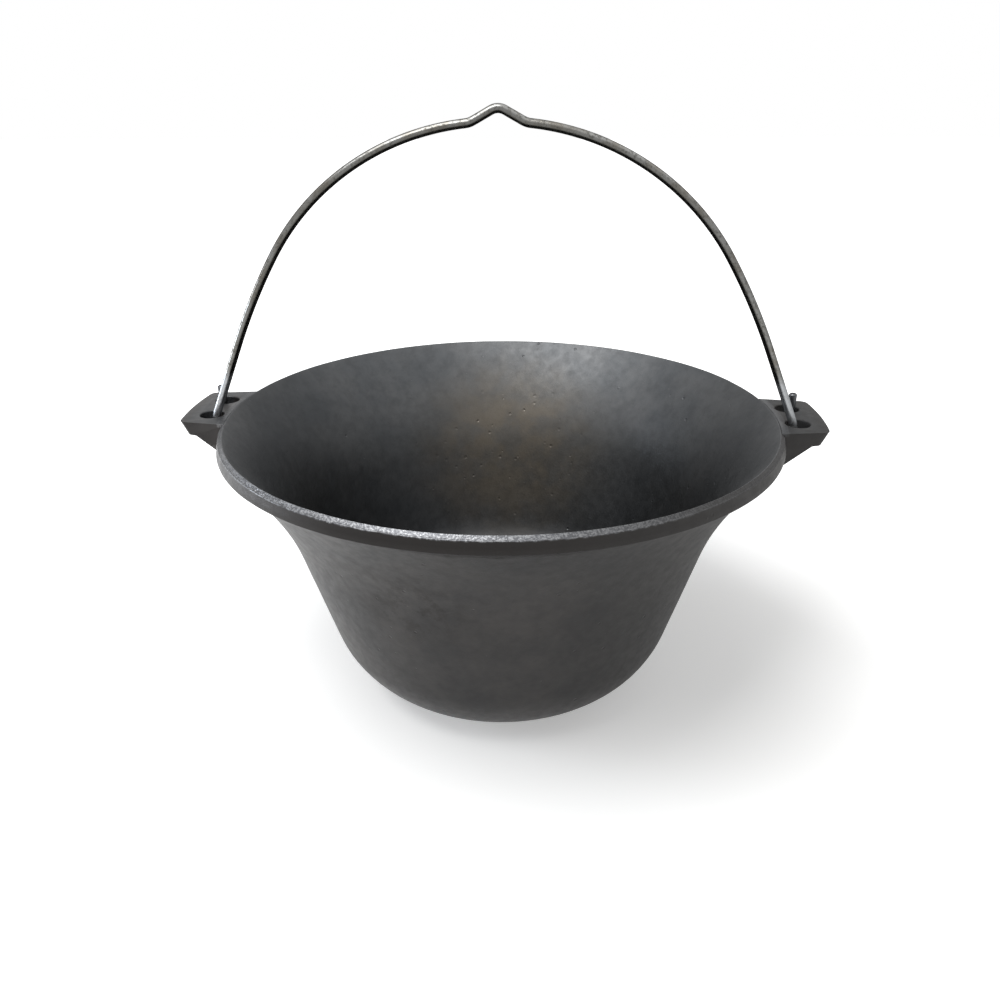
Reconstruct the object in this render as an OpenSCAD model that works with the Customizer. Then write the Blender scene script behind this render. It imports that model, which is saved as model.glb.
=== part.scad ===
// Cast iron cauldron with a bent steel bail hooked through its two ears.
// Millimetres, +Z up, the middle of the base on the origin, the ears along X
// and the front towards -Y. The bail stands upright.

/* [Pot] */
// Outer diameter over the rim band
rim_d = 350; // [330:1:370]
// Height from the base to the top of the rim
pot_h = 186; // [172:1:200]
// Height of the rim band
band_h = 9.5; // [7.5:0.5:11.5]
// How far the band stands proud of the wall under it
band_step = 4; // [3:0.5:5.5]
// Width of the land on top of the rim, with its rounded outer edge
land_w = 4.5; // [4:0.25:5.5]
// Radius of the rim's ground upper outer edge
rim_edge_r = 2.5; // [1.5:0.25:3.25]
// Radius of the band's lower edge
band_edge_r = 1.2; // [0.6:0.1:1.8]
// Thickness of the wall
wall_t = 4.5; // [3.5:0.25:5.5]
// Thickness of the base
base_t = 5.5; // [4:0.5:7]
// Lean of the straight part of the wall, in degrees
wall_lean = 16.3; // [14:0.1:19]
// Radius of the outward flare below the band
flare_r = 176; // [150:1:200]
// Lean of the wall at the top of its flare, in degrees
flare_lean = 41.8; // [38:0.2:46]
// Diameter of the flat base
base_d = 124; // [108:1:138]
// Angle at which the round bottom meets the flat base, in degrees
base_edge = 9; // [5:0.5:14]

/* [Ears] */
// How far an ear reaches past the rim band
ear_reach = 24.5; // [21:0.5:28]
// Width of an ear where it leaves the rim
ear_w = 64; // [58:1:72]
// Taper of each side of an ear, in degrees
ear_taper = 8; // [3:0.5:12]
// Thickness of an ear
ear_t = 9; // [7:0.5:11]
// Radius of an ear's outer corners
ear_corner_r = 4.5; // [2:0.5:8]
// How much shorter an ear is underneath than on top
ear_undercut = 4; // [2:0.5:6]
// Thickness of the two webs under an ear
web_t = 7; // [5:0.5:9]
// How far a web stops short of the ear's outer edge
web_setback = 12; // [9:0.5:15]
// Slope of a web's lower edge, in degrees
web_slope = 36; // [30:1:42]

/* [Ear holes] */
// Diameter of the two holes in an ear
hole_d = 15; // [13:0.5:17]
// Width of the bar between the two holes
bar_w = 13; // [10:0.5:15]
// Distance of the hole centres from the outer face of the rim band
hole_out = 7; // [6.5:0.25:9]

/* [Bail] */
// Diameter of the steel rod
rod_d = 5; // [4:0.25:6]
// Height of the rod's highest point over the rim, to its centre
bail_h = 175; // [162:1:188]
// Radius of the hanging peak at the top of the arch
peak_r = 8; // [6:0.5:12]
// Slope of the peak's two straight sides, in degrees
peak_turn = 28; // [24:1:34]
// Length of each straight side of the peak
peak_side = 11; // [8:0.5:14]
// Radius of the two bends beside the peak
dip_r = 12; // [8:1:16]
// Angle of the two bends beside the peak, in degrees
dip_turn = 22; // [18:0.5:24]
// Angle of each half of the arch, in degrees
arch_turn = 51.6; // [49:0.2:54]
// Angle of the slack bend in each leg, in degrees
leg_turn = 8.8; // [6:0.2:11]
// Length of the straight part of each leg
leg_len = 45; // [38:1:52]
// Radius of the bend that brings a leg upright in its hole
foot_r = 28; // [22:1:34]
// Gap between the rod and the bar beside it
hook_gap = 4; // [3:0.2:5]
// Twist of a hook that sets its end outwards, in degrees
hook_twist = 8.5; // [4:0.5:12]
// How far outwards a hook sits from the line of the hole centres
hook_out = 0.4; // [0:0.1:0.8]
// How far the end of the rod stands above the ear
stub_h = 10; // [7:0.5:12]
// Length of the chamfer on each end of the rod
stub_chamfer = 0.8; // [0.4:0.1:1.2]

/* [Hidden] */
$fn = 96;

// Rim, with the level of its top as the zero of the profile's heights
rim_r = rim_d / 2;
mouth_r = rim_r - land_w;

// Flare, an arc that bends outwards from the wall up to the band
flare_top = [rim_r - band_step, -band_h];
flare_c = flare_top + flare_r * [cos(flare_lean), -sin(flare_lean)];

// Point of an arc round c where the wall leans by the angle a
function lean_point(c, r, a) = c + r * [-cos(a), sin(a)];

// Round bottom, an arc from the leaning wall to the edge of the base
wall_n = [cos(wall_lean), -sin(wall_lean)];
base_r = base_d / 2;
wall_reach = lean_point(flare_c, flare_r, wall_lean) * wall_n;
bottom_r = (wall_reach - [base_r, -pot_h] * wall_n) / (1 - sin(base_edge + wall_lean));
bottom_c = [base_r, -pot_h] + bottom_r * [-sin(base_edge), cos(base_edge)];

// Round inside, an arc from the inner wall to the flat floor
floor_z = -pot_h + base_t;
inside_r = (wall_reach - wall_t - [bottom_c[0], floor_z] * wall_n) / (1 - sin(wall_lean));
inside_c = [bottom_c[0], floor_z + inside_r];

// Inner flare, an arc from the straight inner wall up to the edge of the mouth,
// so that the wall grows thicker towards the rim
inner_neck = lean_point(flare_c, flare_r + wall_t, wall_lean);
to_mouth = [mouth_r, 0] - inner_neck;
mouth_flare_r = to_mouth * to_mouth / (2 * to_mouth * wall_n);
mouth_flare_c = inner_neck + mouth_flare_r * wall_n;

// Ears
ear_r = rim_r + ear_reach;
hole_x = rim_r + hole_out;
hole_y = (bar_w + hole_d) / 2;
side_reach = rim_r * sin(ear_taper) + ear_w / 2 * cos(ear_taper);
corner_a = asin((side_reach - ear_corner_r) / (ear_r - ear_corner_r)) - ear_taper;
corner_c = (ear_r - ear_corner_r) * [cos(corner_a), sin(corner_a)];
corner_foot = corner_c + ear_corner_r * [sin(ear_taper), cos(ear_taper)];
web_tip = ear_r - web_setback;
web_end = flare_c[0] - flare_r * cos(wall_lean);
web_drop = (web_tip - web_end) * tan(web_slope);

// Bail hooks, each half a turn round the bar of an ear
rod_r = rod_d / 2;
hook_r = bar_w / 2 + hook_gap + rod_r;
hook_x = hole_x + hook_out;
hook_z = -ear_t;
foot_x = hook_x - hook_r * sin(hook_twist);
foot_y = -hook_r * cos(hook_twist);

// Directions of the rod, from level at the peak down to the leg
dip_start = -peak_turn;
arch_start = dip_start + dip_turn;
leg_start = arch_start - arch_turn;
leg_end = leg_start - leg_turn;
foot_turn = 90 + leg_end;

// Change of place along an arc of the rod from direction a to direction b
function arc_step(r, a, b) = r * [sin(a) - sin(b), cos(b) - cos(a)];

// Radii of the arch and the leg's bend that join the peak to the foot
peak_top = [0, bail_h];
side_top = peak_top + arc_step(peak_r, 0, dip_start);
dip_top = side_top + peak_side * [cos(dip_start), sin(dip_start)];
arch_top = dip_top - arc_step(dip_r, dip_start, arch_start);
foot_top = [foot_x, hook_z] + foot_r * [sin(-leg_end) - 1, cos(leg_end)];
leg_foot = foot_top - leg_len * [cos(leg_end), sin(leg_end)];
span = leg_foot - arch_top;
arch_unit = arc_step(1, arch_start, leg_start);
leg_unit = arc_step(1, leg_start, leg_end);
unit_det = arch_unit[0] * leg_unit[1] - leg_unit[0] * arch_unit[1];
arch_r = (span[0] * leg_unit[1] - leg_unit[0] * span[1]) / unit_det;
leg_r = (arch_unit[0] * span[1] - span[0] * arch_unit[1]) / unit_det;
leg_top = arch_top + arch_r * arch_unit;

// Overshoot of cuts, and the gap between stretches of the rod with the hair's
// breadth by which the balls that fill it are wider than the rod
cut = 1;
joint_gap = 0.1;
joint_grow = 0.02;

// Profile of the pot's outside or inside, right of the axis
module bowl_profile(flare, out, bottom, centre, level, edge, mouth, top)
{
    neck = lean_point(out, flare, wall_lean);
    heel = centre + bottom * wall_n;

    difference() {
        translate([0, neck[1]])
            square([mouth, top - neck[1]]);
        translate(out)
            circle(r = flare, $fn = 360);
    }
    polygon([[0, heel[1]], heel, neck, [0, neck[1]]]);
    polygon([[0, level], [edge, level], heel, [0, heel[1]]]);
    intersection() {
        translate(centre)
            circle(r = bottom, $fn = 360);
        translate([centre[0], level])
            square([bottom, heel[1] - level]);
    }
}

// Rim band with its two outer edges rounded
module band_profile()
{
    flat = band_h - rim_edge_r - band_edge_r;

    translate([0, -band_h])
        square([rim_r - rim_edge_r, band_h]);
    translate([0, -band_h])
        square([rim_r - band_edge_r, band_edge_r + flat]);
    translate([0, -band_h + band_edge_r])
        square([rim_r, flat]);
    translate([rim_r - rim_edge_r, -rim_edge_r])
        circle(r = rim_edge_r);
    translate([rim_r - band_edge_r, -band_h + band_edge_r])
        circle(r = band_edge_r);
}

module outer_body()
{
    rotate_extrude($fn = 180) {
        bowl_profile(flare_r, flare_c, bottom_r, bottom_c, -pot_h, base_r, flare_top[0], -band_h);
        band_profile();
    }
}

module cavity()
{
    rotate_extrude($fn = 180)
        bowl_profile(
            mouth_flare_r, mouth_flare_c, inside_r, inside_c, floor_z, inside_c[0], mouth_r + 2 * cut, cut
        );
}

// Half width of an ear at the distance x from the pot's axis, less a margin
function ear_side(x, margin) = ear_w / 2 - (x - rim_r) * tan(ear_taper) - margin / cos(ear_taper);

// Outline of the right ear, concentric with the rim at its outer edge
module ear_outline()
{
    polygon([
        [web_end, -ear_side(web_end, 0)],
        [corner_foot[0], -corner_foot[1]],
        [corner_c[0], -corner_c[1]],
        corner_c,
        corner_foot,
        [web_end, ear_side(web_end, 0)]
    ]);
    intersection() {
        circle(r = ear_r, $fn = 360);
        polygon([[0, 0], 1.2 * [corner_c[0], -corner_c[1]], 1.2 * corner_c]);
    }
    for (s = [-1, 1])
        translate([corner_c[0], s * corner_c[1]])
            circle(r = ear_corner_r);
}

// Side view of an ear, right of the pot's axis: the undercut plate and the
// slope of the webs under it, down to the wall
module ear_profile()
{
    polygon([
        [0, 0],
        [ear_r, 0],
        [ear_r - ear_undercut, -ear_t],
        [web_tip, -ear_t],
        [web_end, -ear_t - web_drop],
        [0, -ear_t - web_drop]
    ]);
}

// Right ear, hollow underneath between its two webs
module ear()
{
    difference() {
        intersection() {
            translate([0, 0, -ear_t - web_drop])
                linear_extrude(ear_t + web_drop)
                    ear_outline();
            rotate_extrude($fn = 360)
                ear_profile();
        }
        translate([0, 0, -ear_t - web_drop - cut])
            linear_extrude(web_drop + cut)
                polygon([
                    [web_end - cut, -ear_side(web_end - cut, web_t)],
                    [ear_r + cut, -ear_side(ear_r + cut, web_t)],
                    [ear_r + cut, ear_side(ear_r + cut, web_t)],
                    [web_end - cut, ear_side(web_end - cut, web_t)]
                ]);
    }
}

module ear_holes()
{
    for (s = [-1, 1])
        translate([hole_x, s * hole_y, -ear_t - cut])
            cylinder(d = hole_d, h = ear_t + 2 * cut);
}

module pot()
{
    color([0.24, 0.25, 0.27])
    translate([0, 0, pot_h])
        difference() {
            union() {
                outer_body();
                for (a = [0, 180])
                    rotate([0, 0, a])
                        ear();
            }
            cavity();
            for (a = [0, 180])
                rotate([0, 0, a])
                    ear_holes();
        }
}

// Bend of the rod in the arch's plane, from direction a to direction b, short
// of both ends by the gap that the joining balls fill
module rod_bend(centre, r, a, b)
{
    trim = joint_gap / r * 180 / PI;

    translate([centre[0], 0, centre[1]])
        rotate([90, 0, 0])
            rotate([0, 0, b + trim])
                rotate_extrude(angle = a - b - 2 * trim, $fn = 360)
                    translate([r, 0])
                        circle(d = rod_d, $fn = 48);
}

// Straight stretch of the rod in the arch's plane, trimmed like the bends
module rod_run(start, a, len)
{
    translate([start[0], 0, start[1]])
        rotate([0, 90 - a, 0])
            translate([0, 0, joint_gap])
                cylinder(d = rod_d, h = len - 2 * joint_gap, $fn = 48);
}

// Ball that joins two stretches of the rod, a hair wider than the rod, with its
// axis in the rod's direction there
module joint(point, a)
{
    translate([point[0], 0, point[1]])
        rotate([0, 90 - a, 0])
            sphere(r = rod_r + joint_grow, $fn = 48);
}

// One side of the arch with its leg, in the XZ plane
module arch_side()
{
    dip_c = dip_top + dip_r * [-sin(dip_start), cos(dip_start)];
    arch_c = arch_top + arch_r * [sin(arch_start), -cos(arch_start)];
    leg_c = leg_top + leg_r * [sin(leg_start), -cos(leg_start)];
    foot_c = [foot_x - foot_r, hook_z];

    rod_run(side_top, dip_start, peak_side);
    rod_bend(dip_c, dip_r, 270 + arch_start, 270 + dip_start);
    rod_bend(arch_c, arch_r, 90 + arch_start, 90 + leg_start);
    rod_bend(leg_c, leg_r, 90 + leg_start, 90 + leg_end);
    rod_run(leg_foot, leg_end, leg_len);
    rod_bend(foot_c, foot_r, foot_turn, 0);

    joint(side_top, dip_start);
    joint(dip_top, dip_start);
    joint(arch_top, arch_start);
    joint(leg_top, leg_start);
    joint(leg_foot, leg_end);
    joint(foot_top, leg_end);
    joint([foot_x, hook_z], 90);
}

// Hook under the bar of the right ear, and the end that comes up behind it
module hook()
{
    stub_len = ear_t + stub_h - stub_chamfer;

    translate([hook_x, 0, hook_z])
        rotate([0, 0, -hook_twist])
            rotate([0, 0, 90]) {
                rod_bend([0, 0], hook_r, 360, 180);
                translate([hook_r, 0, joint_gap]) {
                    cylinder(d = rod_d, h = stub_len - joint_gap, $fn = 48);
                    translate([0, 0, stub_len - joint_gap])
                        cylinder(r1 = rod_r, r2 = rod_r - stub_chamfer, h = stub_chamfer, $fn = 48);
                }
                joint([hook_r, 0], 90);
            }
}

module bail()
{
    color([0.45, 0.44, 0.42])
    translate([0, 0, pot_h]) {
        translate([0, foot_y, 0])
            rod_bend(peak_top - [0, peak_r], peak_r, 90 + peak_turn, 90 - peak_turn);
        for (side = [0, 1])
            mirror([side, 0, 0]) {
                translate([0, foot_y, 0])
                    arch_side();
                hook();
            }
    }
}

pot();
bail();
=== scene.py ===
import math

import bpy
from mathutils import Matrix, Vector


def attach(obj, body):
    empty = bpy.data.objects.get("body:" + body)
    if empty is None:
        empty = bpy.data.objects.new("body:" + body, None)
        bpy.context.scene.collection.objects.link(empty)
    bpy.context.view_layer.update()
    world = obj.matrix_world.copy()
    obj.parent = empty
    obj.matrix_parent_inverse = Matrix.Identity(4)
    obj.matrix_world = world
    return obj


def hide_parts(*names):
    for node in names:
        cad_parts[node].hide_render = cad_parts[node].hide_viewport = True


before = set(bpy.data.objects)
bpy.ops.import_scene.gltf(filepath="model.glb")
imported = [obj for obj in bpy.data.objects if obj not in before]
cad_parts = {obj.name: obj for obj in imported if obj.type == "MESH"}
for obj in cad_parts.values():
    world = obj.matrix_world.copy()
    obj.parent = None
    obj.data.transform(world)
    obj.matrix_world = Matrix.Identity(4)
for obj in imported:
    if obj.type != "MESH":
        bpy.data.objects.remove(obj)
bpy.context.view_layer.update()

MM = 0.001

# Pot
POT_H = 186.0
RIM_R = 175.0
BAND_H = 9.5
BAND_STEP = 4.0
LAND_W = 4.5
WALL_T = 4.5
BASE_T = 5.5
WALL_LEAN = math.radians(16.3)
FLARE_R = 176.0
FLARE_LEAN = math.radians(41.8)
BASE_R = 62.0
BASE_EDGE = math.radians(9.0)
RIM_EDGE_R = 2.5
BAND_EDGE_R = 1.2
MOUTH_EDGE_R = 0.9
BAND_ROOT_R = 1.6

# Ears
EAR_REACH = 24.5
EAR_W = 64.0
EAR_TAPER = math.radians(8.0)
EAR_T = 9.0
EAR_CORNER_R = 4.5
EAR_UNDERCUT = 4.0
EAR_DROP = 0.45
EAR_EDGE_R = 0.9
WEB_T = 7.0
WEB_SETBACK = 12.0
WEB_SLOPE = math.radians(36.0)
HOLE_R = 7.5
HOLE_OUT = 7.0
HOLE_EDGE_R = 0.8
BAR_W = 13.0

# Bail
ROD_R = 2.5
BAIL_H = 175.0
PEAK_R = 8.0
PEAK_TURN = math.radians(28.0)
PEAK_SIDE = 11.0
DIP_R = 12.0
DIP_TURN = math.radians(22.0)
ARCH_TURN = math.radians(51.6)
LEG_TURN = math.radians(8.8)
LEG_LEN = 45.0
FOOT_R = 28.0
HOOK_GAP = 4.0
HOOK_TWIST = math.radians(8.5)
HOOK_OUT = 0.4
STUB_H = 10.0
STUB_CHAMFER = 0.8

# Waviness that the sand leaves in the casting: spacing and depth
SAND_WAVES = ((45.0, 0.32), (9.0, 0.1))

# Fineness of the meshes
TURN_STEPS = 240
HOLE_STEPS = 48
WALL_STEP = 4.0
EDGE_STEPS = 4
RIM_EDGE_STEPS = 8
EAR_STEP = math.radians(1.0)
EAR_CORNER_STEP = math.radians(9.0)
EAR_EDGE_STEPS = 3
HOLE_EDGE_STEP = math.radians(18.0)
ROD_STEP = 2.0
ROD_ARC_STEP = math.radians(6.0)
ROD_ROUNDNESS = 10
SAME_PLACE = 0.005
SAME_LEVEL = 0.01
BEVEL_ANGLE = math.radians(35.0)
POT_SHARP_ANGLE = math.radians(32.0)
ROD_SHARP_ANGLE = math.radians(40.0)

# How far the cutting solids reach beyond what they cut, and into the wall
FAR = 40.0
HOLE_FAR = 5.0
CORE_INTO_BAND = 1.0

# Camera, at the photograph's place: it looks down past the rim's centre
CAMERA_DISTANCE = 548.3
CAMERA_AZIMUTH = math.radians(3.525)
CAMERA_ELEVATION = math.radians(19.316)
CAMERA_TILT = math.radians(5.947)
CAMERA_PAN = math.radians(-0.077)
CAMERA_ROLL = math.radians(-0.265)
CAMERA_NEAR = 10.0
FOCAL_PIXELS = 858.5
IMAGE_PIXELS = 1000.0
SENSOR_MM = 36.0

# Floor and lights. A lamp has a name, a place, a width, watts and a colour.
FLOOR_W = 16000.0
WORLD_LIGHT = 0.4
LAMPS = (
    ("above", (-420.0, -400.0, 1350.0), 900.0, 15.0, "#ffffff"),
    ("left", (-1200.0, 0.0, 250.0), 400.0, 6.3, "#eef5ff"),
)


# Geometry of profiles

def polar(centre, radius, angle):
    return centre + radius * Vector((math.cos(angle), math.sin(angle)))


def arc(centre, radius, start, end, step):
    count = max(2, math.ceil(abs(end - start) / step))
    return [polar(centre, radius, start + (end - start) * i / count) for i in range(count + 1)]


def spaced(points, step):
    """The points of a line, with more between them where they are over a step apart."""
    result = [points[0]]
    for a, b in zip(points, points[1:]):
        count = max(1, math.ceil((b - a).length / step))
        result += [a.lerp(b, i / count) for i in range(1, count + 1)]
    return result


def rounded(before, corner, after, radius, count=EDGE_STEPS):
    """Points of the arc that rounds a corner between two neighbours."""
    u = (before - corner).normalized()
    v = (after - corner).normalized()
    half = u.angle(v) / 2
    reach = radius / math.tan(half)
    centre = corner + (u + v).normalized() * (radius / math.sin(half))
    a, b = corner + u * reach - centre, corner + v * reach - centre
    return [centre + a.slerp(b, i / count) for i in range(count + 1)]


WALL_N = Vector((math.cos(WALL_LEAN), -math.sin(WALL_LEAN)))
FLARE_TOP = Vector((RIM_R - BAND_STEP, -BAND_H))
FLARE_C = FLARE_TOP + FLARE_R * Vector((math.cos(FLARE_LEAN), -math.sin(FLARE_LEAN)))
WALL_REACH = polar(FLARE_C, FLARE_R, math.pi - WALL_LEAN).dot(WALL_N)
BASE_CORNER = Vector((BASE_R, -POT_H))
BOTTOM_R = (WALL_REACH - BASE_CORNER.dot(WALL_N)) / (1 - math.sin(BASE_EDGE + WALL_LEAN))
BOTTOM_C = BASE_CORNER + BOTTOM_R * Vector((-math.sin(BASE_EDGE), math.cos(BASE_EDGE)))

FLOOR_CORNER = Vector((BOTTOM_C[0], BASE_T - POT_H))
INSIDE_R = (WALL_REACH - WALL_T - FLOOR_CORNER.dot(WALL_N)) / (1 - math.sin(WALL_LEAN))
MOUTH = Vector((RIM_R - LAND_W, 0))
TO_MOUTH = MOUTH - polar(FLARE_C, FLARE_R + WALL_T, math.pi - WALL_LEAN)
MOUTH_FLARE_R = TO_MOUTH.length_squared / (2 * TO_MOUTH.dot(WALL_N))
MOUTH_FLARE_C = MOUTH - TO_MOUTH + MOUTH_FLARE_R * WALL_N


def bowl_line(level, bottom_c, bottom_r, edge, flare_c, flare_r, top):
    """Line from the axis along a level, up the round bottom and up the flare to a height."""
    line = [Vector((0, level))]
    line += arc(bottom_c, bottom_r, edge - math.pi / 2, -WALL_LEAN, WALL_STEP / bottom_r)
    end = math.pi - math.asin((top - flare_c[1]) / flare_r)
    line += arc(flare_c, flare_r, math.pi - WALL_LEAN, end, WALL_STEP / flare_r)
    return spaced(line, WALL_STEP)


def outside_line(depth):
    """The pot's outer line, or a line at a depth inside the wall."""
    bottom_r, flare_r = BOTTOM_R - depth, FLARE_R + depth
    return bowl_line(depth - POT_H, BOTTOM_C, bottom_r, BASE_EDGE, FLARE_C, flare_r, -BAND_H)


def inside_line():
    centre = FLOOR_CORNER + Vector((0, INSIDE_R))
    return bowl_line(FLOOR_CORNER[1], centre, INSIDE_R, 0, MOUTH_FLARE_C, MOUTH_FLARE_R, 0)


def pot_profile():
    """Closed line round half of the pot's section, from axis to axis."""
    outside = outside_line(0)
    inside = inside_line()
    under = Vector((RIM_R, -BAND_H))
    edge = Vector((RIM_R, 0))
    line = outside[:-1]
    line += rounded(outside[-2], outside[-1], under, BAND_ROOT_R)
    line += rounded(outside[-1], under, edge, BAND_EDGE_R)
    line += rounded(under, edge, MOUTH, RIM_EDGE_R, RIM_EDGE_STEPS)
    line += rounded(edge, MOUTH, inside[-2], MOUTH_EDGE_R)
    return spaced(line, WALL_STEP) + inside[-2::-1]


# Modelling

def deselect():
    if bpy.context.mode != "OBJECT":
        bpy.ops.object.mode_set(mode="OBJECT")
    bpy.ops.object.select_all(action="DESELECT")


def draw_line(name, points):
    """A chain of edges through the points, left open in edit mode."""
    deselect()
    bpy.ops.mesh.primitive_plane_add(size=MM, location=points[0] * MM)
    piece = bpy.context.object
    piece.name = name
    bpy.ops.object.mode_set(mode="EDIT")
    bpy.ops.mesh.select_all(action="SELECT")
    bpy.ops.mesh.merge(type="CENTER")
    for a, b in zip(points, points[1:]):
        bpy.ops.mesh.extrude_region_move(TRANSFORM_OT_translate={"value": (b - a) * MM})
    return piece


def close_edit(piece):
    """Back to object mode, with doubles merged, faces outwards and the place in the mesh."""
    bpy.ops.mesh.select_all(action="SELECT")
    bpy.ops.mesh.remove_doubles(threshold=SAME_PLACE * MM)
    bpy.ops.mesh.normals_make_consistent(inside=False)
    bpy.ops.object.mode_set(mode="OBJECT")
    bpy.ops.object.transform_apply(location=True, rotation=True, scale=True)
    return piece


def spun(name, profile, centre=(0.0, 0.0), steps=TURN_STEPS):
    """A profile of radius and height, turned all the way round an upright axis."""
    x, y = centre
    piece = draw_line(name, [Vector((x + p[0], y, POT_H + p[1])) for p in profile])
    bpy.ops.mesh.select_all(action="SELECT")
    bpy.ops.mesh.spin(
        steps=steps, angle=2 * math.pi, center=(x * MM, y * MM, 0), axis=(0, 0, 1)
    )
    return close_edit(piece)


def prism(name, outline, sweep):
    """A flat outline in space, swept along a vector."""
    piece = draw_line(name, outline)
    bpy.ops.mesh.select_all(action="SELECT")
    bpy.ops.mesh.edge_face_add()
    bpy.ops.mesh.extrude_region_move(TRANSFORM_OT_translate={"value": sweep * MM})
    return close_edit(piece)


def apply_modifier(piece, kind, **settings):
    modifier = piece.modifiers.new(kind.title(), kind)
    for key, value in settings.items():
        setattr(modifier, key, value)
    bpy.context.view_layer.objects.active = piece
    bpy.ops.object.modifier_apply(modifier=modifier.name)


def combine(piece, other, operation):
    """Boolean of two solids, which uses the second one up."""
    apply_modifier(piece, "BOOLEAN", object=other, operation=operation, solver="EXACT")
    bpy.data.objects.remove(other)


def smooth(piece, angle):
    deselect()
    piece.select_set(True)
    bpy.context.view_layer.objects.active = piece
    bpy.ops.object.shade_smooth_by_angle(angle=angle)


# Pot

EAR_R = RIM_R + EAR_REACH
HOLE_X = RIM_R + HOLE_OUT
HOLE_Y = (BAR_W + 2 * HOLE_R) / 2
WEB_TIP = EAR_R - WEB_SETBACK
WEB_END = FLARE_C[0] - FLARE_R * math.cos(WALL_LEAN)
WEB_DROP = (WEB_TIP - WEB_END) * math.tan(WEB_SLOPE)


def ear_side(x, margin):
    """Half of an ear's width at a place along it, less a margin square to its side."""
    return EAR_W / 2 - (x - RIM_R) * math.tan(EAR_TAPER) - margin / math.cos(EAR_TAPER)


def ear_outline(side):
    """Half of an ear's outline seen from above, from the wall to its outer edge."""
    reach = RIM_R * math.sin(EAR_TAPER) + EAR_W / 2 * math.cos(EAR_TAPER)
    turn = math.asin((reach - EAR_CORNER_R) / (EAR_R - EAR_CORNER_R)) - EAR_TAPER
    corner = polar(Vector((0, 0)), EAR_R - EAR_CORNER_R, turn)
    line = [Vector((WEB_END, ear_side(WEB_END, 0)))]
    line += arc(corner, EAR_CORNER_R, math.pi / 2 - EAR_TAPER, turn, EAR_CORNER_STEP)
    line += arc(Vector((0, 0)), EAR_R, turn, 0, EAR_STEP)[1:]
    return [Vector((p[0], side * p[1])) for p in line]


def ear():
    """The right ear: a plate with two webs under it, its root inside the wall."""
    top = POT_H - EAR_DROP
    plate = POT_H - EAR_T
    outline = ear_outline(1) + ear_outline(-1)[-2::-1]
    outline = [Vector((p[0], p[1], top)) for p in outline]
    piece = prism("ear", outline, Vector((0, 0, EAR_DROP - EAR_T - WEB_DROP)))

    # Cut away what is under the plate, outwards of the webs' slope
    inner, outer, low = WEB_END - FAR, EAR_R + FAR, -WEB_DROP - FAR
    slope = [(WEB_TIP, 0), (outer, 0), (outer, low), (inner, low)]
    slope.append((inner, -WEB_DROP - FAR * math.tan(WEB_SLOPE)))
    slope = [Vector((x, -FAR, plate + z)) for x, z in slope]
    combine(piece, prism("under", slope, Vector((0, 2 * FAR, 0))), "DIFFERENCE")

    # Cut away what is between the webs
    pocket = [(inner, 1), (outer, 1), (outer, -1), (inner, -1)]
    pocket = [Vector((x, side * ear_side(x, WEB_T), plate)) for x, side in pocket]
    combine(piece, prism("pocket", pocket, Vector((0, 0, low))), "DIFFERENCE")

    # Cut away what is further in than the middle of the wall
    root = MOUTH[0] + CORE_INTO_BAND
    core = outside_line(WALL_T / 2)
    core += [Vector((root, CORE_INTO_BAND - BAND_H)), Vector((root, FAR)), Vector((0, FAR))]
    combine(piece, spun("core", core), "DIFFERENCE")

    # The plate's outer face leans in towards its lower edge
    for v in piece.data.vertices:
        at = v.co / MM
        outermost = math.hypot(at[0], at[1]) > WEB_TIP + WEB_SETBACK / 3
        if outermost and abs(at[2] - plate) < SAME_LEVEL:
            v.co[0] -= EAR_UNDERCUT * MM
    apply_modifier(
        piece,
        "BEVEL",
        width=EAR_EDGE_R * MM,
        segments=EAR_EDGE_STEPS,
        limit_method="ANGLE",
        angle_limit=BEVEL_ANGLE,
    )
    return piece


def mirrored(piece):
    """A copy of a piece turned half way round the pot's axis."""
    twin = piece.copy()
    twin.data = piece.data.copy()
    bpy.context.collection.objects.link(twin)
    twin.data.transform(Matrix.Rotation(math.pi, 4, "Z"))
    return twin


def hole_cutter(x, y):
    """A round cutter that flares at both faces, so that it leaves soft edges."""
    lip_r = HOLE_R + HOLE_EDGE_R
    top, bottom = -EAR_DROP, -EAR_T
    upper = Vector((lip_r, top - HOLE_EDGE_R))
    lower = Vector((lip_r, bottom + HOLE_EDGE_R))
    line = [Vector((0, top + HOLE_FAR)), Vector((lip_r, top + HOLE_FAR))]
    line += arc(upper, HOLE_EDGE_R, math.pi / 2, math.pi, HOLE_EDGE_STEP)
    line += arc(lower, HOLE_EDGE_R, math.pi, 1.5 * math.pi, HOLE_EDGE_STEP)
    line += [Vector((lip_r, bottom - HOLE_FAR)), Vector((0, bottom - HOLE_FAR))]
    return spun("hole", line, (x, y), HOLE_STEPS)


def uneven(piece, spacing, depth):
    """Waves in a surface as cast, which only take metal away."""
    texture = bpy.data.textures.new("sand", "CLOUDS")
    texture.noise_scale = spacing * MM
    apply_modifier(
        piece,
        "DISPLACE",
        texture=texture,
        texture_coords="LOCAL",
        strength=depth * MM,
        mid_level=1.0,
    )


def make_pot():
    piece = spun("pot_casting", pot_profile())
    for spacing, depth in SAND_WAVES:
        uneven(piece, spacing, depth)
    right = ear()
    left = mirrored(right)
    combine(piece, right, "UNION")
    combine(piece, left, "UNION")
    for x in (-HOLE_X, HOLE_X):
        for y in (-HOLE_Y, HOLE_Y):
            combine(piece, hole_cutter(x, y), "DIFFERENCE")
    smooth(piece, POT_SHARP_ANGLE)
    return piece


# Bail

def arc_step(radius, a, b):
    """Change of place along an arc of the rod from direction a to direction b."""
    return radius * Vector((math.sin(a) - math.sin(b), math.cos(b) - math.cos(a)))


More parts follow.
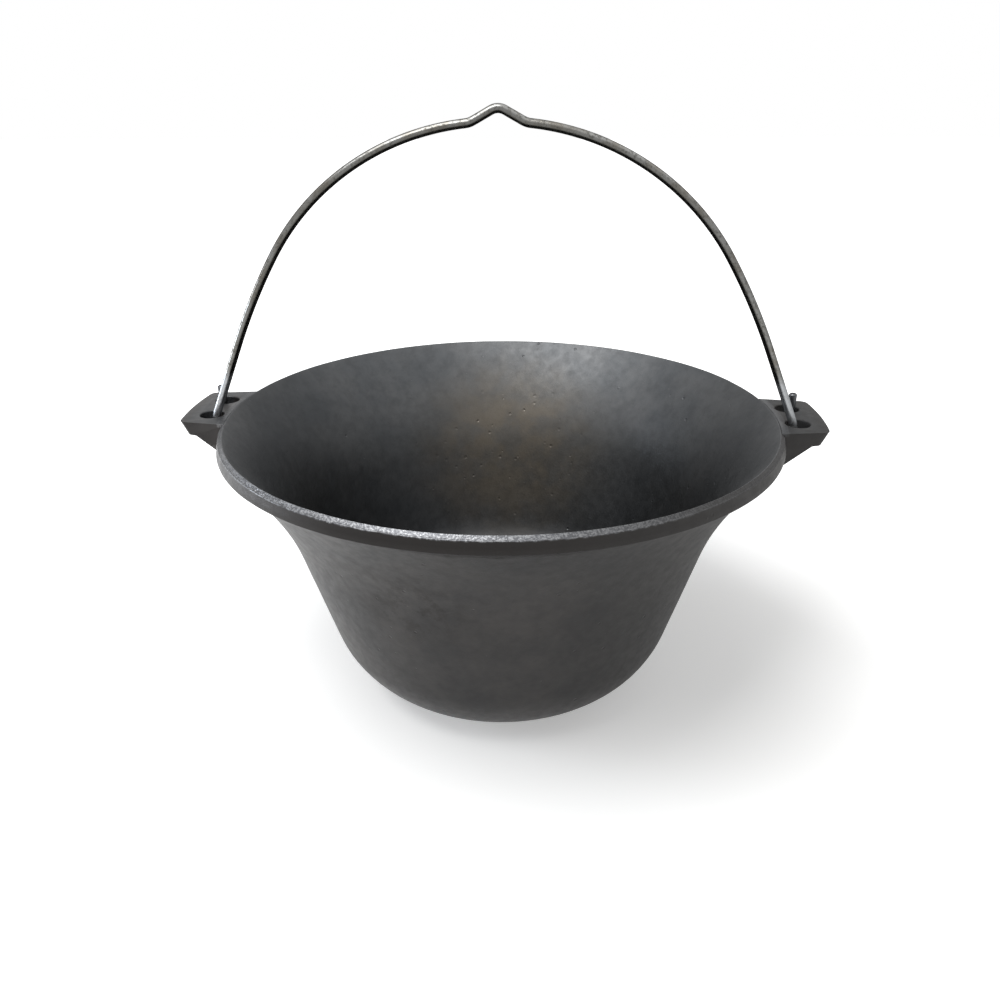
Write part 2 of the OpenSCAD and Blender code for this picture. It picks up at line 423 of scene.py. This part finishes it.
def bend(line, radius, a, b, turn):
    """Adds a bend to a line of the rod; turn is 1 to the right and -1 to the left."""
    start = line[-1]
    angle = abs(b - a)
    count = max(3, math.ceil(max(angle / ROD_ARC_STEP, angle * radius / ROD_STEP)))
    for i in range(1, count + 1):
        line.append(start + turn * arc_step(radius, a, a + (b - a) * i / count))


def run(line, direction, length):
    """Adds a straight part to a line of the rod."""
    count = max(1, round(length / ROD_STEP))
    start = line[-1]
    way = Vector((math.cos(direction), math.sin(direction)))
    line += [start + way * (length * i / count) for i in range(1, count + 1)]


def bail_side():
    """Points of the rod's centre on the right side, from the peak to the rod's end."""
    dip = -PEAK_TURN
    arch = dip + DIP_TURN
    leg = arch - ARCH_TURN
    foot = leg - LEG_TURN
    hook_r = BAR_W / 2 + HOOK_GAP + ROD_R
    hook = Vector((HOLE_X + HOOK_OUT, -EAR_T))
    foot_end = hook - Vector((hook_r * math.sin(HOOK_TWIST), 0))

    # From the peak down, with the radii of arch and leg solved to meet the foot
    line = [Vector((0, BAIL_H))]
    bend(line, PEAK_R, 0, dip, 1)
    run(line, dip, PEAK_SIDE)
    bend(line, DIP_R, dip, arch, -1)
    foot_top = foot_end + FOOT_R * Vector((math.sin(-foot) - 1, math.cos(foot)))
    leg_foot = foot_top - LEG_LEN * Vector((math.cos(foot), math.sin(foot)))
    span = leg_foot - line[-1]
    arch_unit = arc_step(1, arch, leg)
    leg_unit = arc_step(1, leg, foot)
    shares = arch_unit.cross(leg_unit)
    bend(line, span.cross(leg_unit) / shares, arch, leg, 1)
    bend(line, arch_unit.cross(span) / shares, leg, foot, 1)
    run(line, foot, LEG_LEN)
    bend(line, FOOT_R, foot, -math.pi / 2, 1)

    # Half a turn round the ear's bar, and the stub that stands up behind it
    out = Vector((math.sin(HOOK_TWIST), math.cos(HOOK_TWIST)))
    points = [Vector((p[0], -hook_r * out[1], p[1])) for p in line]
    half_turn = arc(Vector((0, hook[1])), hook_r, math.pi, 2 * math.pi, ROD_ARC_STEP)[1:]
    stub = spaced([half_turn[-1], Vector((hook_r, STUB_H - STUB_CHAMFER))], ROD_STEP)[1:]
    stub.append(Vector((hook_r, STUB_H)))
    for p in half_turn + stub:
        points.append(Vector((hook[0] + p[0] * out[0], p[0] * out[1], p[1])))
    return [p + Vector((0, 0, POT_H)) for p in points]


def make_bail():
    right = bail_side()
    left = [Vector((-p[0], p[1], p[2])) for p in right]
    draw_line("bail_rod", left[::-1] + right[1:])
    bpy.ops.object.mode_set(mode="OBJECT")
    bpy.ops.object.transform_apply(location=True, rotation=True, scale=True)
    bpy.ops.object.convert(target="CURVE")
    curve = bpy.context.object.data
    curve.bevel_depth = ROD_R * MM
    curve.bevel_resolution = ROD_ROUNDNESS
    curve.use_fill_caps = True
    points = curve.splines[0].points
    for end in (points[0], points[-1]):
        end.radius = 1 - STUB_CHAMFER / ROD_R
    bpy.ops.object.convert(target="MESH")
    piece = bpy.context.object
    bpy.ops.object.mode_set(mode="EDIT")
    close_edit(piece)
    smooth(piece, ROD_SHARP_ANGLE)
    return piece


# Materials

EASED = {"interpolation_type": "SMOOTHSTEP"}
BLEND = {"data_type": "RGBA"}
TIMES = {"operation": "MULTIPLY"}
TIMES_PLUS = {"operation": "MULTIPLY_ADD"}
MINUS = {"operation": "SUBTRACT"}
LARGER = {"operation": "MAXIMUM"}
LENGTH = {"operation": "LENGTH"}
DISTANCE = {"operation": "DISTANCE"}
DOT = {"operation": "DOT_PRODUCT"}


def linear(colour):
    """Linear RGBA of an sRGB hex colour."""
    parts = [int(colour[i:i + 2], 16) / 255 for i in (1, 3, 5)]
    parts = [c / 12.92 if c <= 0.04045 else ((c + 0.055) / 1.055) ** 2.4 for c in parts]
    return parts + [1.0]


def add(tree, kind, inputs, **settings):
    """Adds a node and gives its outputs; an input is a value or another node's output."""
    node = tree.nodes.new("ShaderNode" + kind)
    for key, value in settings.items():
        setattr(node, key, value)
    for key, value in inputs.items() if isinstance(inputs, dict) else enumerate(inputs):
        if isinstance(value, bpy.types.NodeSocket):
            tree.links.new(value, node.inputs[key])
        else:
            node.inputs[key].default_value = value
    return node.outputs


def new_material(name):
    material = bpy.data.materials.new(name)
    material.use_nodes = True
    material.node_tree.nodes.clear()
    return material, material.node_tree


def cast_iron():
    """Grey iron cast in sand, oiled and dried: matt and dark, with soft clouds, a
    fine grain, a few pits and small beads. The flat top of the rim is ground bare."""
    material, tree = new_material("sand cast grey iron")
    coordinates = add(tree, "TexCoord", [])
    at, normal = coordinates["Object"], coordinates["Normal"]
    x, y, z = add(tree, "SeparateXYZ", [at])

    # Noises, by the size of their features in mm, their detail and their roughness
    noise = {}
    for name, size, detail, roughness in (
        ("clouds", 42, 3, 0.55),
        ("mottle", 8, 5, 0.65),
        ("sand grain", 0.8, 2, 0.55),
        ("sand waves", 5, 3, 0.55),
        ("gloss", 6, 4, 0.55),
        ("scoured edge", 16, 5, 0.7),
        ("tint", 18, 4, 0.55),
        ("ragged_band_edge", 9, 4, 0.65),
        ("grease", 11, 5, 0.7),
        ("land edge", 3, 3, 0.55),
        ("grinding", 1.1, 2, 0.7),
    ):
        values = {"Scale": 1 / (size * MM), "Detail": detail, "Roughness": roughness}
        noise[name] = add(tree, "TexNoise", {"Vector": at, **values})["Fac"]

    # Inside and outside, told apart by whether a face looks away from the pot's axis
    flat = add(tree, "VectorMath", [at, (1, 1, 0)], **TIMES)[0]
    radius = add(tree, "VectorMath", [flat], **LENGTH)["Value"]
    facing = add(tree, "VectorMath", [flat, normal], **DOT)["Value"]
    outside = add(tree, "MapRange", [facing, -0.02, 0.02], **EASED)[0]
    inside = add(tree, "Math", [1.0, outside], **MINUS)[0]

    # Skin in soft clouds, paler on the inside
    clouds = add(tree, "MapRange", [noise["clouds"], 0.32, 0.7], **EASED)[0]
    mottle = add(tree, "MapRange", [noise["mottle"], 0.35, 0.75], **EASED)[0]
    skins = []
    for dark, pale in (("#484a4c", "#545556"), ("#373636", "#413f3e")):
        skin = {0: clouds, 6: linear(dark), 7: linear(pale)}
        skins.append(add(tree, "Mix", skin, **BLEND)[2])
    colour = add(tree, "Mix", {0: outside, 6: skins[0], 7: skins[1]}, **BLEND)[2]

    # Painted shade on the right of the outside, and on the right ear, as the light falls from
    # the left
    ears = add(tree, "MapRange", [radius, (RIM_R - 2) * MM, (RIM_R + 1) * MM], **EASED)[0]
    right_shade_reach = add(tree, "Math", [outside, ears], **LARGER)[0]
    right_shade = add(tree, "MapRange", [x, 0, 140 * MM, 0, 0.9], **EASED)[0]
    right_shade = add(tree, "Math", [right_shade, right_shade_reach], **TIMES)[0]

    # Painted shade on the inside, darker away from the lit back wall
    inside_shade = add(tree, "MapRange", [y, 0, 140 * MM, 0.45, 0], **EASED)[0]

    # Painted highlight on the inner floor and its rounded foot: a little paler, where the
    # overhead light is mirrored
    level = add(tree, "Math", [noise["scoured edge"], 24 * MM, z], **TIMES_PLUS)[0]
    floor_highlight = add(tree, "MapRange", [level, 72 * MM, 50 * MM, 0, 0.34], **EASED)[0]
    uneven_floor_highlight = add(tree, "MapRange", [mottle, 0, 1, 0.8, 1.1], **EASED)[0]

    # Brown heat tint on the back of the inside
    hot_spot = Vector((0, 125, 105)) * MM
    from_hot_spot = add(tree, "VectorMath", [at, hot_spot], **DISTANCE)["Value"]
    tint = add(tree, "MapRange", [from_hot_spot, 95 * MM, 20 * MM], **EASED)[0]
    uneven_tint = add(tree, "MapRange", [noise["tint"], 0.35, 0.65, 0.5, 1], **EASED)[0]

    # Darker face of the rim band, its ragged lower edge reaching a little onto the wall under
    # it
    level = add(tree, "Math", [noise["ragged_band_edge"], 9 * MM, z], **TIMES_PLUS)[0]
    low, high = (POT_H - BAND_H - 0.8) * MM, (POT_H - BAND_H + 0.4) * MM
    band = add(tree, "MapRange", [level, low, high], **EASED)[0]
    outward = add(tree, "MapRange", [facing, 0.03, 0.08], **EASED)[0]
    band_strength = add(tree, "MapRange", [x, -120 * MM, 0, 0.95, 0.9], **EASED)[0]

    # Faint greasy smudge on the front of the outside
    smudge = Vector((-40, -125, 125)) * MM
    smudge = add(tree, "VectorMath", [at, smudge], **DISTANCE)["Value"]
    smudge = add(tree, "MapRange", [smudge, 45 * MM, 10 * MM], **EASED)[0]
    grease = add(tree, "MapRange", [noise["grease"], 0.45, 0.62, 0, 0.55], **EASED)[0]

    # What lies on the skin, painted shade and a painted highlight among it: each layer's
    # colour, and the factors of its cover
    for paint, cover, *factors in (
        ("#2a2b2c", mottle, 0.3),
        # painted shade on the right side
        ("#1d1c1b", right_shade),
        # painted shade on the inside
        ("#242527", inside_shade, inside),
        # painted highlight on the inner floor
        ("#8a8b8d", floor_highlight, uneven_floor_highlight, inside),
        ("#6b6152", tint, uneven_tint, inside, 0.55),
        ("#252322", band, outward, band_strength),
        ("#24211f", smudge, grease, outside),
    ):
        for factor in factors:
            cover = add(tree, "Math", [cover, factor], **TIMES)[0]
        colour = add(tree, "Mix", {0: cover, 6: colour, 7: linear(paint)}, **BLEND)[2]

    # Ground top of the rim. Painted light: its bare colour is strongest at the front left,
    # where the light falls, and fades towards the back right
    land_light = add(tree, "VectorMath", [at, (-0.42, -0.91, 0)], **DOT)["Value"]
    land_light = add(tree, "MapRange", [land_light, 50 * MM, 180 * MM, 0.15, 1], **EASED)[0]
    level = add(tree, "Math", [noise["land edge"], 1.6 * MM, z], **TIMES_PLUS)[0]
    land_and_light = land_light
    for value, nothing, full in (
        (level, POT_H - 1.9, POT_H - 0.9),
        (radius, MOUTH[0] - 0.5, MOUTH[0] + 0.3),
        (radius, RIM_R + 1, RIM_R + 0.2),
    ):
        share = add(tree, "MapRange", [value, nothing * MM, full * MM], **EASED)[0]
        land_and_light = add(tree, "Math", [land_and_light, share], **TIMES)[0]
    grinding = add(tree, "MapRange", [noise["grinding"], 0.42, 0.62], **EASED)[0]
    ground = {0: grinding, 6: linear("#56575a"), 7: linear("#808183")}
    ground = add(tree, "Mix", ground, **BLEND)[2]
    colour = add(tree, "Mix", {0: land_and_light, 6: colour, 7: ground}, **BLEND)[2]

    # The ground rim top is glossier bare metal, and the painted shade on the right is matt and
    # hides about half of the metal
    rough = add(tree, "MapRange", [noise["gloss"], 0.25, 0.75, 0.41, 0.5], **EASED)[0]
    rough = add(tree, "Math", [land_and_light, -0.1, rough], **TIMES_PLUS)[0]
    rough = add(tree, "Math", [right_shade, 0.2, rough], **TIMES_PLUS)[0]
    metal = add(tree, "MapRange", [land_and_light, 0, 1, 0.85, 1], **EASED)[0]
    metal = add(tree, "Math", [right_shade, -0.5, metal], **TIMES_PLUS)[0]

    # Relief of sand and grinding
    height = add(tree, "Math", [noise["sand grain"], 0.3], **TIMES)[0]
    height = add(tree, "Math", [noise["sand waves"], 0.5, height], **TIMES_PLUS)[0]
    marks = add(tree, "Math", [grinding, land_and_light], **TIMES)[0]
    height = add(tree, "Math", [marks, 0.4, height], **TIMES_PLUS)[0]

    # Pits and small raised beads, with scabs on the heat tint: spacing in mm, the share
    # of places without one, radius in spacings, height in the relief, and where they are
    scabby = add(tree, "MapRange", [from_hot_spot, 80 * MM, 30 * MM], **EASED)[0]
    for spacing, bare, size, rise, where in (
        (13, 0.6, 0.1, -2.6, 1),
        (6, 0.8, 0.13, -1.2, 1),
        (22, 0.75, 0.06, 2.4, 1),
        (7, 0.5, 0.22, -1.4, scabby),
    ):
        cells = add(tree, "TexVoronoi", {"Vector": at, "Scale": 1 / (spacing * MM)})
        spot = [cells["Distance"], size, size * 0.3, 0, rise]
        spot = add(tree, "MapRange", spot, **EASED)[0]
        pick = add(tree, "SeparateColor", [cells["Color"]])[0]
        pick = add(tree, "MapRange", [pick, bare, bare + 0.04], **EASED)[0]
        spot = add(tree, "Math", [spot, pick], **TIMES)[0]
        height = add(tree, "Math", [spot, where, height], **TIMES_PLUS)[0]
    bump = {"Height": height, "Strength": 0.5, "Distance": 0.25 * MM}
    bump = add(tree, "Bump", bump)[0]

    shader = {"Base Color": colour, "Roughness": rough, "Metallic": metal, "Normal": bump}
    shader = add(tree, "BsdfPrincipled", shader)[0]
    add(tree, "OutputMaterial", {"Surface": shader})
    return material


def steel_rod():
    """Drawn steel rod, dulled and spotted brown over the fire, with painted shade on the
    side that faces the pot, so that its outer side is paler; bare and bright near its
    hooks, and darker on the half of the hook behind the bar."""
    material, tree = new_material("fire dulled steel rod")
    coordinates = add(tree, "TexCoord", [])
    at, normal = coordinates["Object"], coordinates["Normal"]
    _, y, z = add(tree, "SeparateXYZ", [at])

    # Noises, by the size of their features in mm, their detail and their roughness
    noise = {}
    for name, size, detail, roughness in (
        ("blotches", 10, 4, 0.65),
        ("specks", 2.2, 3, 0.7),
        ("bare edge", 5, 3, 0.55),
        ("drawn skin", 1.6, 3, 0.55),
    ):
        values = {"Scale": 1 / (size * MM), "Detail": detail, "Roughness": roughness}
        noise[name] = add(tree, "TexNoise", {"Vector": at, **values})["Fac"]
    blotches = add(tree, "MapRange", [noise["blotches"], 0.38, 0.66], **EASED)[0]
    specks = add(tree, "MapRange", [noise["specks"], 0.48, 0.66], **EASED)[0]
    brown = add(tree, "Math", [specks, 0.75], **TIMES)[0]

    # Painted shade on the side that looks at the middle of the pot's mouth
    outward = add(tree, "VectorMath", [at, (0, 0, POT_H * MM)], **MINUS)[0]
    outward = add(tree, "VectorMath", [outward], operation="NORMALIZE")[0]
    facing = add(tree, "VectorMath", [outward, normal], **DOT)["Value"]
    inward_shade = add(tree, "MapRange", [facing, 0.4, -0.3, 0, 0.85], **EASED)[0]

    # Bare up to 30 mm over the rim, but dark on the half of the hook behind the bar
    level = add(tree, "Math", [noise["bare edge"], 10 * MM, z], **TIMES_PLUS)[0]
    bare = [level, (POT_H + 33) * MM, (POT_H + 27) * MM]
    bare = add(tree, "MapRange", bare, **EASED)[0]
    behind_bar = add(tree, "MapRange", [y, 3 * MM, 8 * MM, 0, 0.85], **EASED)[0]

    colour = {0: blotches, 6: linear("#7f7f7d"), 7: linear("#6b6862")}
    colour = add(tree, "Mix", colour, **BLEND)[2]
    for paint, cover in (
        ("#353431", inward_shade),
        ("#454440", brown),
        ("#9a9c9e", bare),
        ("#3c3d3f", behind_bar),
    ):
        colour = add(tree, "Mix", {0: cover, 6: colour, 7: linear(paint)}, **BLEND)[2]

    rough = add(tree, "MapRange", [specks, 0, 1, 0.24, 0.42], **EASED)[0]
    duller = add(tree, "Math", [bare, behind_bar], **LARGER)[0]
    rough = add(tree, "Math", [duller, 0.12, rough], **TIMES_PLUS)[0]
    height = add(tree, "Math", [specks, -0.4, noise["drawn skin"]], **TIMES_PLUS)[0]
    bump = {"Height": height, "Strength": 0.4, "Distance": 0.12 * MM}
    bump = add(tree, "Bump", bump)[0]
    shader = {
        "Base Color": colour,
        "Roughness": rough,
        "Metallic": 1.0,
        "Specular Tint": linear("#9a9a9a"),
        "Normal": bump,
    }
    shader = add(tree, "BsdfPrincipled", shader)[0]
    add(tree, "OutputMaterial", {"Surface": shader})
    return material


def seen_rays(tree):
    """1 for the rays that show the white background: to the camera, in metal, in glass."""
    paths = add(tree, "LightPath", [])
    seen = [paths["Is Camera Ray"], paths["Is Glossy Ray"]]
    seen = add(tree, "Math", seen, **LARGER)[0]
    return add(tree, "Math", [seen, paths["Is Transmission Ray"]], **LARGER)[0]


def floor_paper():
    """Pale matt paper that keeps the pot's shadow and turns white away from it."""
    material, tree = new_material("floor paper")
    at = add(tree, "TexCoord", [])["Object"]
    away = add(tree, "VectorMath", [at], **LENGTH)["Value"]
    lift = add(tree, "MapRange", [away, 150 * MM, 600 * MM, 0.35, 1], **EASED)[0]
    lift = add(tree, "Math", [seen_rays(tree), lift], **TIMES)[0]
    paper = add(tree, "BsdfDiffuse", {"Color": linear("#f2f2f1")})[0]
    glow = add(tree, "Emission", {"Color": linear("#ffffff"), "Strength": lift})[0]
    both = add(tree, "AddShader", [paper, glow])[0]
    add(tree, "OutputMaterial", {"Surface": both})
    return material


# Stage, light and camera

def make_stage():
    """Floor and world. The world lights the pot dimly and evenly. Where it is seen or
    mirrored it is white, and a little brighter overhead, as a studio's ceiling is."""
    deselect()
    bpy.ops.mesh.primitive_plane_add(size=FLOOR_W * MM)
    floor = bpy.context.object
    floor.name = "floor"
    floor.data.materials.append(floor_paper())

    world = bpy.data.worlds.new("studio")
    bpy.context.scene.world = world
    world.use_nodes = True
    tree = world.node_tree
    tree.nodes.clear()
    way = add(tree, "TexCoord", [])["Generated"]
    upward = add(tree, "SeparateXYZ", [way])[2]
    overhead = add(tree, "MapRange", [upward, 0.45, 0.85, 0.6, 1.4], **EASED)[0]
    strength = [seen_rays(tree), overhead, WORLD_LIGHT]
    strength = add(tree, "Math", strength, **TIMES_PLUS)[0]
    back = add(tree, "Background", {"Color": linear("#ffffff"), "Strength": strength})[0]
    add(tree, "OutputWorld", {"Surface": back})


def make_lamp(name, place, width, watts, colour):
    """A square soft lamp that looks at the pot."""
    aim = Vector((0, 0, POT_H / 2))
    data = bpy.data.lights.new(name, "AREA")
    data.size = width * MM
    data.energy = watts
    data.color = linear(colour)[:3]
    lamp = bpy.data.objects.new(name, data)
    bpy.context.collection.objects.link(lamp)
    lamp.location = Vector(place) * MM
    lamp.rotation_euler = (aim - Vector(place)).to_track_quat("-Z", "Y").to_euler()


def make_camera():
    data = bpy.data.cameras.new("camera")
    data.sensor_width = SENSOR_MM
    data.lens = FOCAL_PIXELS / IMAGE_PIXELS * SENSOR_MM
    data.clip_start = CAMERA_NEAR * MM
    camera = bpy.data.objects.new("camera", data)
    bpy.context.collection.objects.link(camera)
    turn = Matrix.Rotation(CAMERA_AZIMUTH, 4, "Z")
    back = Vector((0, -math.cos(CAMERA_ELEVATION), math.sin(CAMERA_ELEVATION)))
    place = turn @ (back * CAMERA_DISTANCE) + Vector((0, 0, POT_H))
    aim = turn @ Matrix.Rotation(math.pi / 2 - CAMERA_ELEVATION - CAMERA_TILT, 4, "X")
    aim = aim @ Matrix.Rotation(-CAMERA_PAN, 4, "Y") @ Matrix.Rotation(CAMERA_ROLL, 4, "Z")
    camera.matrix_world = Matrix.Translation(place * MM) @ aim
    bpy.context.scene.camera = camera


def dress(piece, node, material):
    piece.data.materials.clear()
    piece.data.materials.append(material)
    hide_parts(node)
    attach(piece, node)


make_camera()
make_stage()
for lamp in LAMPS:
    make_lamp(*lamp)
dress(make_pot(), "pot", cast_iron())
dress(make_bail(), "bail", steel_rod())

bpy.context.scene.view_settings.view_transform = "Standard"
